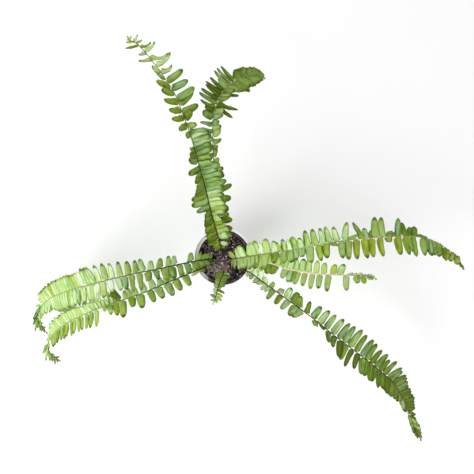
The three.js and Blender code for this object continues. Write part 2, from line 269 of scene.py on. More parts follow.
def makePot():
    base, rim, top, foot = pot["baseRadius"], pot["rimRadius"], pot["height"], pot["footRing"]
    band = top - pot["rimBand"]
    step, ledgeEdge = mouth - pot["ledgeSlope"], mouth - pot["ledgeWidth"]
    bore, floor = base - pot["wall"], pot["floorThick"]

    def outer(height):
        return base + (rim - pot["rimLip"] - base) * height / band

    # the underside with its foot ring, then up the outside, over the rim and the ledge and down inside
    profile = [(0, foot), (base - foot - pot["footWidth"], foot), (base - pot["footWidth"], 0),
               (base - 1.2, 0), (base - 0.35, 0.35), (outer(1.4), 1.4), (outer(40), 40), (outer(75), 75),
               (outer(band - 0.6), band - 0.6), (outer(band) + 0.1, band), (rim - 0.4, band + 0.5),
               (rim, band + 1.3), (rim, top - 1.0), (rim - 0.3, top - 0.3), (rim - 0.7, top),
               (rim - 0.9, top), (mouth + 0.6, top), (mouth + 0.4, top), (mouth + 0.1, top - 0.15),
               (mouth, top - 0.5),
               (step + 0.1, ledge + 0.6), (step, ledge + 0.1), (step - 0.3, ledge), (step - 0.5, ledge),
               (ledgeEdge + 0.5, ledge), (ledgeEdge + 0.3, ledge), (ledgeEdge, ledge - 0.4),
               (bore + 9.5, 60), (bore, floor + 1), (bore - 1, floor), (0, floor)]
    drillHoles(newPiece("pot_shell", spinShell(profile, pot["sides"]), [potMaterial()], "pot", "pot"))


makePot()
print("pot done")


# the potting mix: its body has the frame's gentle humps, with lumps that fade out at the edge
mix = dict(top=97, relief=2, hump=75, bottom=4.3, foot=40.0, flare=7, edge=54.0, rings=40, sides=144,
           lump=1.5, lumpSize=7, edgeFade=3,
           dark=(0.009, 0.005, 0.007, 1), brown=(0.075, 0.045, 0.045, 1), pale=(0.5, 0.4, 0.43, 1), fleck=0.5,
           dry=(0.3, 0.24, 0.21, 1), dryAt=(-8, -29, 97), dryReach=23, dryFade=(17, 2), dryRagged=0.03)
even = ((0.6, 1.4), (0.6, 1.4), (0.5, 1.0))
flat = ((1.2, 2.6), (0.5, 1.0), (0.25, 0.5))
bits = dict(
    peat_crumbs=dict(count=1300, size=(0.8, 2.3), stretch=even, sink=0.35, seed=4),
    bark_chips=dict(count=90, size=(1.4, 3.0), stretch=flat, sink=0.35, seed=5),
    spilled_crumbs=dict(count=420, size=(0.5, 1.25), stretch=even, sink=0.3, seed=7),
    perlite_beads=dict(count=130, size=(0.45, 1.15), stretch=even, sink=0.2, seed=6))
spill = dict(ring=(55.2, 59.4), past=0.8, side=-0.1, width=0.85)
bitLook = dict(roughEdge=0.3, tilt=0.5, pale=4.5, paleDry=2.8, dryMore=6, dryShare=0.5)
stipe = dict(start=(3.4, -3, 99.5), end=(2.6, -30, 99), radius=1.3, taper=0.7, sides=10, cuts=7,
             sway=1.0, rise=0.6, low=(0.06, 0.008, 0.008, 1), high=(0.3, 0.12, 0.09, 1))


def mixHeight(x, y):
    u, v = fullTurn * x / mix["hump"], fullTurn * y / mix["hump"]
    broad = math.sin(u + 1) * math.cos(1.1 * v)
    fine = math.sin(1.3 * u + 2.6 * v)
    return mix["top"] + mix["relief"] * (0.6 * broad + 0.4 * fine)


def dryPatch(tree):
    # the dried patch in front of the crown
    away = vectorValue(tree, "DISTANCE", objectCoords(tree), [value * mm for value in mix["dryAt"]])
    ragged = calc(tree, "ADD", away, times(tree, grain(tree, 110, 4), mix["dryRagged"]))
    inside = fade(tree, ragged, *[mix["dryReach"] + more for more in mix["dryFade"]])
    return times(tree, inside, patchy(tree, 240, 3, 0.36, 0.56, 0.15, 1.0))


def mixMaterial():
    material, tree = startMaterial("potSoil")
    colour = blend(tree, patchy(tree, 130, 6, 0.38, 0.66), mix["dark"], mix["brown"])
    colour = blend(tree, times(tree, dryPatch(tree), 0.8), colour, mix["dry"])
    # small violet-grey flecks of grit and fibre
    cells = addNode(tree, "ShaderNodeTexVoronoi", Vector=objectCoords(tree), Scale=320.0, Randomness=1.0)
    dots = spread(tree, cells.outputs["Distance"], 0.5, 0.25)
    lot = addNode(tree, "ShaderNodeSeparateColor", Color=cells.outputs["Color"]).outputs[0]
    some = calc(tree, "POWER", spread(tree, lot, mix["fleck"], 1.0), 1.5)
    colour = blend(tree, times(tree, dots, some), colour, mix["pale"])
    height = calc(tree, "ADD", grain(tree, 300, 6), times(tree, dots, 0.4))
    finishSurface(tree, colour, Roughness=patchy(tree, 210, 3, 0.3, 0.7, 0.75, 0.98),
                  Specular_IOR_Level=0.1, Normal=bump(tree, height, 0.9, 0.0016))
    return material


def makeMix():
    top, edge, foot, bottom = mix["top"], mix["edge"], mix["foot"], mix["bottom"]
    profile = [(0, bottom), (foot, bottom), (foot + mix["flare"], 50), (edge - 1, top - 4)]
    profile += [(edge * (1 - k / mix["rings"]), top) for k in range(mix["rings"] + 1)]
    bm = spinShell(profile, mix["sides"])
    for v in bm.verts:
        if v.co.z > (top - 2) * mm:
            x, y = v.co.x / mm, v.co.y / mm
            lumps = noise.fractal(Vector((x, y, 3)) / mix["lumpSize"], 0.8, 2.2, 4)
            edgeFade = min(1.0, (edge - math.hypot(x, y)) / mix["edgeFade"] + 0.25)
            v.co.z = (mixHeight(x, y) + mix["lump"] * lumps * edgeFade) * mm
    newPiece("potting_mix", bm, [mixMaterial()], "potting_mix", "soil")


def onMix(draw):
    # a spot on the mix, the height there and how far out a bit may reach
    radius, angle = mix["edge"] * math.sqrt(draw.uniform(0, 0.97)), draw.uniform(0, fullTurn)
    x, y = radius * math.cos(angle), radius * math.sin(angle)
    return x, y, mixHeight(x, y), mix["edge"]


def onLedge(draw):
    # a spot on the ledge inside the rim, mostly at the right
    radius, angle = draw.uniform(*spill["ring"]), draw.gauss(spill["side"], spill["width"])
    return radius * math.cos(angle), radius * math.sin(angle), ledge, spill["ring"][1] + spill["past"]


def scatterBits(name, material, spot=onMix):
    # low faceted stones, pressed in a little, paler in the dried patch
    p = bits[name]
    draw = random.Random(p["seed"])
    bm = bmesh.new()
    tint = bm.verts.layers.float.new("tint")
    for k in range(p["count"]):
        x, y, ground, reach = spot(draw)
        scale = draw.uniform(*p["size"])
        shape = [scale * draw.uniform(*part) for part in p["stretch"]]
        if math.hypot(x, y) + max(shape) > reach:
            continue
        turn = (Matrix.Rotation(draw.uniform(0, 6.28), 4, "Z")
                @ Matrix.Rotation(draw.uniform(-bitLook["tilt"], bitLook["tilt"]), 4, "X"))
        lift = ground + shape[2] * (1 - 2 * p["sink"])
        place = (Matrix.Translation((x * mm, y * mm, lift * mm)) @ turn
                 @ Matrix.Diagonal((*[part * mm for part in shape], 1)))
        made = bmesh.ops.create_icosphere(bm, subdivisions=1, radius=1.0, matrix=place)
        dried = (Vector((x, y)) - Vector(mix["dryAt"][:2])).length < mix["dryReach"] + bitLook["dryMore"]
        paleness = draw.uniform(0, 1) ** bitLook["paleDry" if dried else "pale"]
        rough = bitLook["roughEdge"]
        for v in made["verts"]:
            v.co += Vector([draw.uniform(-rough, rough) * scale * mm for _ in range(3)])
            v[tint] = paleness
    bmesh.ops.recalc_face_normals(bm, faces=bm.faces)
    newPiece(name, bm, [material], "potting_mix")


def bitMaterial(name, low, high, scale):
    material, tree = startMaterial(name)
    uneven = times(tree, readAttribute(tree, "tint"), patchy(tree, scale, 4, 0.3, 0.6, 0.5, 1.2))
    colour = blend(tree, uneven, low, high)
    colour = blend(tree, times(tree, dryPatch(tree), bitLook["dryShare"]), colour, mix["dry"])
    finishSurface(tree, colour, Roughness=0.9, Specular_IOR_Level=0.12,
                  Normal=bump(tree, grain(tree, scale * 4, 3), 0.5, 0.0005))
    return material


def layStipe():
    # the bare foot of a frond that was cut off long ago
    a, b = Vector(stipe["start"]) * mm, Vector(stipe["end"]) * mm
    place = Matrix.Translation((a + b) / 2) @ (b - a).to_track_quat("Z", "Y").to_matrix().to_4x4()
    radius = stipe["radius"]
    bm = bmesh.new()
    bmesh.ops.create_cone(bm, cap_ends=True, segments=stipe["sides"], radius1=radius * mm,
                          radius2=stipe["taper"] * radius * mm, depth=(b - a).length, matrix=place)
    longEdges = [edge for edge in bm.edges if edge.calc_length() > 5 * mm]
    bmesh.ops.subdivide_edges(bm, edges=longEdges, cuts=stipe["cuts"])
    for v in bm.verts:
        v.co.x += stipe["sway"] * mm * noise.noise(v.co * 90)
        v.co.z += stipe["rise"] * mm * noise.noise(v.co * 70)
    tint = bm.verts.layers.float.new("tint")
    for v in bm.verts:
        v[tint] = 0.35 + 0.3 * noise.noise(v.co * 200)
    bmesh.ops.recalc_face_normals(bm, faces=bm.faces)
    newPiece("old_stipe", bm, [bitMaterial("stipeBark", stipe["low"], stipe["high"], 300)], "potting_mix")


makeMix()
crumbLook = bitMaterial("peatCrumb", (0.008, 0.005, 0.007, 1), (0.6, 0.46, 0.49, 1), 90)
barkLook = bitMaterial("barkChip", (0.03, 0.01, 0.009, 1), (0.42, 0.25, 0.21, 1), 120)
perliteLook = bitMaterial("perliteBead", (0.42, 0.36, 0.37, 1), (0.7, 0.64, 0.64, 1), 200)
scatterBits("peat_crumbs", crumbLook)
scatterBits("bark_chips", barkLook)
scatterBits("spilled_crumbs", crumbLook, onLedge)
layStipe()
scatterBits("perlite_beads", perliteLook)
print("potting mix done")


# The fronds. A route is points from the root in the mix to the tip. full widens the leaflets, and taper
# narrows them towards their tips. stalk is half the stalk's width at the root, and turn is where it goes
# from brown to green. fresh lightens the leaflets from the root to the tip. left and right are leaflets:
# place along the stalk, length, width, lift, sweep, twist, shade and an odd one's own bend, hook and taper.
# A separate program worked out length, width, lift, sweep and twist, from the foot, tip and breadth of each
# leaflet as read in the photo.
fronds = {}
fronds["frond_upper_left"] = dict(
    full=1.12, stalk=1.3, turn=0.6, taper=0.15, fresh=[0.06, 0.0, 0.1],
    route="""
    -1 6 80, -3 20 122, -8 42 160, -21 94 222, -32 146 275, -42 185 308, -54 230 336, -67 266 348,
    -82 304 346, -103 338 338, -120 363 326, -139 388 312, -160 413 290, -182 429 262""",
    left="""
    52 16 14.5 38 37 8 y, 66 20 15 39 36 -4 y, 84 25 17.5 30 18 -14 y, 97 26 18.5 36 12 -16 d,
    109 28 17.5 45 21 -8 y, 121 29 17 41 27 -2 d, 132 30 16.5 50 24 4 y, 147 31 17.5 54 25 0 d,
    159 30 17.5 61 24 -2 o, 171 27 16 62 25 6 d, 184 35 16 42 24 10 b, 201 37 16.5 32 15 4 g,
    218 39 16 44 20 6 o, 231 41 15.5 64 26 6 o, 242 40 16 68 22 4 o, 252 30 15 69 21 10 y,
    262 33 14.5 67 24 16 d, 271 32 13.5 78 25 26 y, 282 42 14 67 22 14 o, 301 33 13 69 32 6 g,
    313 33 13 75 28 6 o, 323 34 12.5 87 26 -20 o, 355 34 11.5 82 15 12 y, 372 33 12.5 68 6 22 y,
    388 39 11.5 64 3 -12 y, 403 37 12.5 64 -3 -12 y, 419 42 13 65 -3 -6 y, 438 37 14.5 67 0 10 y,
    454 40 14.5 70 1 14 y, 474 29 13 77 -11 2 o, 492 28 13.5 75 -15 20 c, 523 33 10 59 -13 -12 c,
    545 21 9 58 -31 -16 c, 574 26 9 37 4 2 y, 592 20 8.5 54 63 24 c, 604 18 8.5 99 -26 40 c""",
    right="""
    50 16 13 -13 -79 26 y, 74 21 16 25 -48 -8 p, 95 24 19.5 27 16 -16 m, 110 29 16.5 16 6 -6 g,
    124 24 16 25 14 6 o, 137 21 16.5 32 20 4 y, 150 22 18 42 29 -4 l, 165 28 16.5 20 16 4 l,
    176 34 16.5 20 12 4 g, 189 35 16.5 20 14 6 l, 200 31 16.5 20 12 6 m, 210 34 16 19 11 6 g,
    220 34 15.5 18 12 6 m, 230 37 15.5 19 10 6 b, 240 41 15.5 20 8 6 b, 250 34 15.5 19 8 8 b,
    260 42 15.5 18 8 4 b, 270 33 15 17 9 10 b, 281 40 15 18 8 8 b, 292 33 13.5 41 15 26 g,
    302 33 14 36 15 18 o, 311 33 14.5 15 17 14 g, 320 35 14 15 18 14 b, 329 41 14 16 15 16 m,
    338 38 14 18 11 16 b, 348 36 14 19 7 18 m, 357 34 13.5 28 1 22 b, 370 33 12.5 68 7 22 o,
    386 33 15 63 14 8 d, 397 33 12.5 23 3 6 g, 413 36 13 0 26 2 g, 423 39 13.5 28 5 2 g, 446 34 13 23 -11 4 b,
    463 37 13 26 -8 6 g, 489 28 11 20 -48 -14 c 14 110, 507 41 10.5 25 -36 -20 c 14 110,
    531 42 10 1 -61 -14 c 14 110, 551 30 9.5 23 -40 -6 c 14 110, 568 25 8.5 0 -56 -10 y 14 110,
    586 15 7.5 9 -47 -12 y, 598 18 7.5 25 -51 0 c 14 110, 610 11 7 22 41 4 c""")
fronds["frond_top"] = dict(
    full=1.08, stalk=1.2, turn=0.5, taper=0.18, fresh=[0, 0, 0.03],
    route="""
    6 9 80, 7 23 115, 4 46 145, -5 110 190, -14 177 238, -16 242 272, -14 277 286, -6 302 288, 7 328 279,
    26 350 255, 56 369 215, 88 378 165""",
    left="""
    100 27 14 47 19 4 o, 116 29 14 45 18 6 o, 132 30 14 43 16 6 o, 148 32 14 46 18 8 g, 165 33 14 49 19 8 o,
    182 34 13.5 51 20 8 o, 199 36 13.5 55 21 10 g, 216 36 13.5 55 21 12 o, 233 36 13.5 56 19 14 g,
    250 36 13 57 16 14 o, 267 34 13 55 14 14 g, 284 31 12.5 55 14 14 o, 301 32 11 57 15 26 g,
    316 32 10.5 57 20 26 g, 331 32 10.5 49 15 50 b, 346 33 15 57 16 10 g, 358 33 9.5 69 2 -6 d,
    364 36 10 42 1 -40 d, 373 43 10.5 42 -3 -20 g, 382 44 10.5 44 -8 -26 d, 390 42 11 46 -11 -30 d,
    397 44 11 46 -18 -22 d, 405 44 11 48 -23 -18 d, 413 32 11.5 57 -32 -6 l, 422 45 11.5 38 -28 -16 g,
    432 44 12 32 -30 -14 g, 443 42 12 31 -30 -12 d, 449 28 14 15 45 14 d, 457 27 14 17 45 16 o,
    466 26 14 22 40 18 d, 474 26 14.5 24 39 18 o, 482 23 14.5 32 44 20 o, 490 24 14.5 43 44 24 g,
    499 24 15 50 44 26 o, 508 21 14 56 43 28 o, 518 18 13 56 39 26 o, 528 15 12.5 58 37 30 o,
    538 12 11 57 44 24 o, 546 10 9.5 59 58 22 o""",
    right="""
    80 23 14.5 47 23 2 g, 97 27 14 50 20 4 y, 116 29 14.5 47 23 4 d, 131 25 13.5 53 23 10 o,
    147 29 17 56 22 -2 d, 168 33 15 45 22 2 o, 188 35 14 22 26 10 o, 206 37 12.5 59 31 14 g,
    222 34 12.5 62 28 14 o, 238 35 12 63 25 16 g, 254 29 12.5 69 32 0 y, 270 30 14 81 43 14 g,
    284 31 11 77 22 -12 y, 296 31 10.5 64 23 -22 o, 311 33 12.5 62 30 8 l, 323 32 12 62 21 8 l,
    335 33 11 75 13 6 g, 346 33 10.5 63 13 -12 m, 357 33 11.5 60 9 2 l, 366 45 10.5 35 -17 44 d,
    373 48 10.5 33 -6 -30 d, 381 33 12.5 64 1 0 g, 389 33 13 59 -6 6 l, 396 35 12 35 3 -18 d,
    404 32 13.5 54 -13 12 g, 412 32 13.5 46 -13 14 l, 420 31 14 32 -7 16 g, 429 32 14 27 -4 18 y,
    438 35 14.5 27 -3 20 g, 447 37 15 26 -2 24 d, 456 30 14.5 13 34 24 g, 465 29 15 17 35 24 o,
    474 29 14.5 15 34 26 d, 483 28 15 17 34 28 o, 493 25 15.5 26 36 30 g, 503 23 14.5 35 37 34 o,
    514 19 14 46 39 38 g, 526 16 12 55 40 38 o""")
fronds["frond_left_high"] = dict(
    full=1.14, stalk=1.5, turn=0.45, taper=0.25, fresh=[0.38, 0.12, 0.06],
    route="""
    -16 -4 80, -34 -4 128, -76 -10 170, -125 -20 204, -174 -29 226, -225 -41 230, -280 -56 208, -341 -75 164,
    -384 -95 115, -415 -124 68, -417 -152 46, -407 -175 32""",
    left="""
    20 16 15 53 -60 -18 y, 54 16 15.5 42 28 -6 b, 69 16 15.5 42 18 -2 o, 87 21 16.5 40 16 -4 d,
    107 26 15 34 16 6 b, 127 27 14 33 9 16 g, 146 28 16 27 10 4 b, 162 29 16.5 34 10 2 o, 182 24 14 38 7 20 b,
    200 29 15.5 18 -8 6 d 110 9, 217 37 13 23 5 24 g, 233 37 12 23 5 34 g, 248 30 12 33 0 14 b,
    261 29 11.5 31 -7 8 p, 278 27 12 30 -9 2 v, 294 36 13 31 -6 4 c, 308 39 14.5 32 -5 14 v,
    318 38 14 30 -7 12 m, 328 36 13.5 27 -8 10 p, 345 36 13.5 25 -9 14 p, 360 36 12.5 5 12 4 b,
    370 36 11.5 7 13 2 m, 378 38 12.5 9 15 14 m, 387 37 12.5 8 13 14 g, 396 37 12.5 7 12 16 p,
    405 37 12.5 5 11 18 m, 414 38 12.5 5 11 20 m, 423 38 12.5 5 11 22 m, 432 37 12.5 4 10 24 m,
    441 36 12.5 4 10 26 l, 449 34 12.5 4 11 28 p, 457 30 12.5 1 21 24 p, 468 29 11.5 10 27 16 m,
    477 29 11 21 21 14 m, 488 29 11 30 27 22 m, 498 26 11 31 44 18 l, 506 27 12 41 32 34 l,
    518 29 11 45 33 28 m, 530 34 10.5 50 36 28 m, 543 41 10 59 39 32 m, 555 43 10 77 14 36 g,
    570 24 9.5 87 65 46 g, 581 23 8.5 -88 112 -12 g, 591 18 8 -76 113 -2 g, 602 13 7 -35 109 32 g""",
    right="""
    30 16 13.5 23 54 10 o, 50 16 15 43 38 -2 o, 61 16 15.5 39 25 -2 o, 76 20 15.5 42 17 0 g,
    98 24 15 43 17 4 g, 139 25 14 45 14 16 m, 152 28 14 44 12 18 l, 173 26 14.5 46 6 12 o,
    192 23 14 43 7 16 m, 209 32 13 39 12 20 m, 223 31 12.5 42 1 26 g, 238 33 12.5 40 -1 18 g,
    255 35 11 38 -6 32 l, 272 36 11 35 -10 -24 m, 286 39 12 33 -12 -4 g, 301 39 12 31 -12 -6 p,
    313 40 14 35 -4 12 m, 322 39 13.5 31 -8 10 g, 331 39 13 29 -8 8 m, 340 35 12.5 29 -7 4 v,
    349 34 12.5 25 -8 6 m, 358 32 12.5 24 -7 8 g, 367 32 12.5 5 12 12 g, 376 34 12.5 4 11 12 g,
    385 34 12.5 5 11 14 m, 394 33 12.5 5 11 16 l, 403 32 12.5 6 11 18 p, 412 32 12.5 6 11 18 m,
    421 32 13 5 10 20 l, 430 32 13 6 10 22 p, 440 31 12.5 9 11 26 y, 451 30 13 10 19 28 p,
    461 30 13 8 25 28 l, 470 29 14 8 29 34 p, 479 28 13 11 26 32 p, 487 27 12 6 22 28 p, 498 26 11 2 51 18 l,
    510 24 11 62 76 28 m, 522 23 11.5 -87 127 32 l, 534 30 11 -82 127 32 m, 545 35 10 -80 130 28 g,
    588 12 6.5 -99 34 50 g, 599 11 6 -113 39 -44 g""")
fronds["frond_left_low"] = dict(
    full=1.14, stalk=1.5, turn=0.42, taper=0.25, fresh=[0.45, 0.17, 0.04],
    route="""
    -19 -14 80, -34 -19 116, -69 -33 140, -121 -54 158, -169 -74 172, -223 -92 178, -268 -109 166,
    -305 -126 144, -343 -146 116, -373 -168 92, -392 -197 76, -392 -217 58, -376 -237 42""",
    left="""
    34 16 11.5 70 53 38 y, 57 16 14 68 23 10 g, 75 17 16.5 0 -20 -10 w 110 9, 97 27 15.5 33 2 6 o,
    120 29 16.5 38 -3 6 o, 139 31 16.5 23 -3 8 b, 160 30 16 37 1 8 g, 178 30 15 37 3 12 o,
    200 33 15.5 38 8 8 o, 218 25 14.5 46 7 8 d, 239 38 15.5 33 7 8 o, 255 29 12.5 34 -2 2 y,
    269 28 11.5 53 -16 -10 l, 279 28 11 78 -24 -24 l, 299 38 11.5 5 25 -12 o, 312 36 11.5 12 30 -4 o,
    326 34 11 16 28 -2 o, 345 30 11 15 23 -4 o, 354 32 10.5 16 24 -2 o, 366 33 11 23 30 0 o,
    378 33 10.5 19 26 2 d, 392 31 11.5 29 34 12 y, 404 32 10.5 24 30 2 d, 416 29 10.5 25 32 4 o,
    427 32 10.5 32 37 6 d, 438 32 10.5 35 42 8 o, 449 29 10.5 33 45 6 g, 460 24 10 24 45 0 o,
    474 26 10.5 61 64 24 l, 486 36 10.5 79 21 32 l, 497 30 10 79 56 40 g, 507 23 9 -82 124 -10 l,
    516 20 8.5 -63 121 8 g, 525 21 7.5 -45 123 14 w, 534 12 7 -43 117 20 g""",
    right="""
    22 18 15.5 39 -64 -10 y, 54 17 13.5 46 22 12 o, 69 20 14 48 16 10 o, 85 25 14 49 8 12 g,
    102 27 13 40 7 34 o, 124 22 15.5 48 4 10 b, 138 25 14 49 1 20 b, 152 22 14 49 4 22 m, 169 28 14 50 5 16 m,
    189 34 14 51 3 16 m, 208 27 12.5 52 1 20 l, 219 26 12 52 0 38 l, 230 26 12 55 -6 34 l,
    243 44 15 20 30 10 d 110 9, 253 46 13 24 40 -16 l 110 9, 262 28 10.5 60 -19 -22 l,
    272 28 10.5 65 -22 -20 m, 281 28 10.5 62 -25 -18 l, 290 29 10.5 59 -27 -14 l, 298 29 10.5 54 -27 -12 m,
    306 29 10.5 52 -26 -8 l, 314 30 11 51 -29 -6 m, 322 33 11 48 -29 -2 l, 331 30 11 49 -30 0 p,
    340 30 11 46 -29 2 l, 348 34 11 44 -29 2 l, 356 33 11 42 -28 4 p, 364 32 11 40 -28 6 l,
    372 32 11 39 -27 6 p, 380 31 11 38 -25 8 l, 388 32 11 38 -23 10 p, 396 30 11.5 38 -22 10 l,
    404 27 11.5 40 -23 10 l, 413 29 10.5 35 -18 8 p, 422 26 10.5 34 -14 10 l, 430 24 11 7 25 10 p,
    438 23 10.5 0 39 8 l, 446 22 9.5 -16 49 2 p, 455 21 8 -32 49 22 l, 466 20 10 -44 50 8 l,
    480 18 11 101 73 42 l, 492 18 9 67 47 14 l, 520 13 6.5 -100 43 -38 g, 533 11 6.5 39 135 36 g""")
fronds["frond_right"] = dict(
    full=1.18, stalk=1.05, turn=0.2, taper=0.28, fresh=[0.5, 0.28, 0.0, -0.04],
    route="""
    12 -6 80, 29 -2 128, 75 7 170, 159 21 212, 236 36 236, 319 44 238, 390 45 220, 430 37 200, 472 18 170,
    498 1 150, 518 -22 130""",
    left="""
    38 21 16 31 24 -14 o, 59 23 14.5 24 15 2 p, 74 29 17 28 12 -10 p, 93 30 15 24 20 6 l,
    104 31 15 29 12 12 l, 112 34 16 28 13 6 l, 122 28 16.5 30 12 4 v, 136 34 17.5 30 12 0 l,
    155 26 14.5 31 10 14 p, 164 26 13.5 46 8 34 g, 174 27 13.5 31 11 26 l, 186 27 13 41 11 32 v,
    197 29 15.5 32 8 8 o, 212 29 13.5 46 10 16 m, 226 37 13.5 30 5 16 g, 242 36 13.5 29 3 16 g,
    257 35 12.5 28 3 30 m, 271 36 12.5 27 -4 24 g, 286 33 12 29 -6 24 m, 301 38 11.5 22 11 10 m,
    312 34 14.5 83 17 4 o, 336 38 12 19 -29 44 d, 344 34 12 -47 3 0 m, 352 34 11.5 -56 11 44 d,
    363 42 14 -4 2 6 g, 376 40 13 -5 1 2 g, 388 33 14 -60 30 14 o, 398 33 12.5 -63 28 30 o,
    409 43 13 -17 15 0 b, 426 36 13 -30 6 0 d, 435 31 12.5 -42 27 0 d, 446 30 14.5 -33 23 10 d,
    456 29 13.5 -66 44 16 d, 466 28 13.5 -67 51 6 d, 583 15 7 -26 57 50 d""",
    right="""
    30 22 14 35 40 2 y, 44 29 14 40 36 10 w, 56 30 14.5 31 29 8 p, 66 31 14 43 31 14 l, 76 32 14.5 47 28 8 l,
    87 32 14.5 48 25 12 l, 98 28 14 49 23 14 l, 108 25 14.5 51 18 20 g, 119 35 18 40 16 0 l 14 0 0.7,
    132 35 18 46 7 0 l 14 0 0.7, 154 30 16 55 7 4 d, 172 34 16 53 12 4 g, 186 34 15.5 53 14 6 g,
    199 30 14 51 11 14 m, 212 29 15.5 61 12 6 m, 228 40 16.5 47 7 4 l, 247 38 13 43 6 18 y,
    262 33 14.5 40 1 8 y, 276 32 13.5 84 16 -4 o, 294 37 13 32 -3 14 g, 308 41 14 28 -8 10 g,
    324 41 12.5 24 -7 10 y, 340 41 13.5 24 -1 6 y, 354 40 13 23 -4 4 y, 370 40 12.5 -1 10 -2 y,
    388 33 14 -58 25 10 o, 407 39 14.5 3 15 8 y, 424 39 13 5 18 -2 y, 434 34 12.5 7 22 -12 o,
    442 43 13.5 6 19 4 o, 466 38 14 9 21 10 g, 474 29 14 13 26 8 g, 482 36 15 17 30 20 b,
    489 28 13.5 21 34 10 g, 497 31 14.5 18 32 20 g, 505 24 13.5 22 36 12 o, 513 29 15 19 34 24 o,
    522 22 13 16 38 10 d, 536 25 12.5 14 33 12 d, 546 26 13.5 12 33 20 y, 563 21 14 14 37 28 o,
    574 14 9.5 -9 64 -2 o, 584 18 14.5 38 52 42 y, 594 11 10.5 37 94 22 o, 607 12 10 75 20 44 d""")
fronds["frond_right_short"] = dict(
    full=1.02, stalk=2.2, turn=0.0, taper=0.12, fresh=[0.1, 0.45, 0.55, 0.45],
    route="""
    19 -17 80, 33 -15 110, 63 -9 134, 101 -11 150, 132 -21 158, 169 -29 163, 207 -34 160, 243 -36 150,
    280 -38 138, 312 -41 122, 332 -46 112""",
    left="""
    66 23 14 38 16 2 o, 80 24 15.5 44 13 2 g, 96 26 15 48 13 8 l, 112 27 16 46 11 8 o, 128 29 15.5 51 8 8 g,
    144 30 17 48 4 6 g, 158 31 14.5 54 4 10 m, 170 33 14.5 48 -5 8 l, 183 34 14 45 -3 8 l,
    197 36 14 43 -8 8 l, 214 36 13 47 -10 8 l, 231 31 13 44 -13 8 l, 252 28 14.5 42 -9 12 y,
    268 30 15 44 -3 16 l, 291 24 11.5 80 -21 -6 p, 303 23 10.5 81 -30 -10 c, 318 20 11 75 -33 6 p,
    331 16 10 78 -32 2 p, 342 13 9.5 65 -24 8 p, 351 10 8 72 -24 0 c""",
    right="""
    66 17 14.5 41 15 2 g, 82 17 14.5 42 10 8 o, 98 19 16 40 7 6 g, 111 26 16.5 39 6 6 d,
    126 24 18.5 37 -1 2 d, 149 24 14 34 -4 12 m, 160 29 13 32 -1 26 m, 168 28 12.5 31 -7 32 o,
    176 30 13.5 30 -7 12 l, 191 30 12 28 -7 12 g, 207 34 12 26 -8 6 l, 223 31 12.5 24 -9 6 g,
    242 36 13.5 23 -12 10 g, 283 34 13.5 26 -8 12 c, 304 23 12 -18 40 8 g, 316 21 9.5 55 -29 -26 l,
    328 17 12.5 33 -10 18 y, 343 12 9.5 72 -27 8 p, 350 10 8 75 -29 -6 c""")
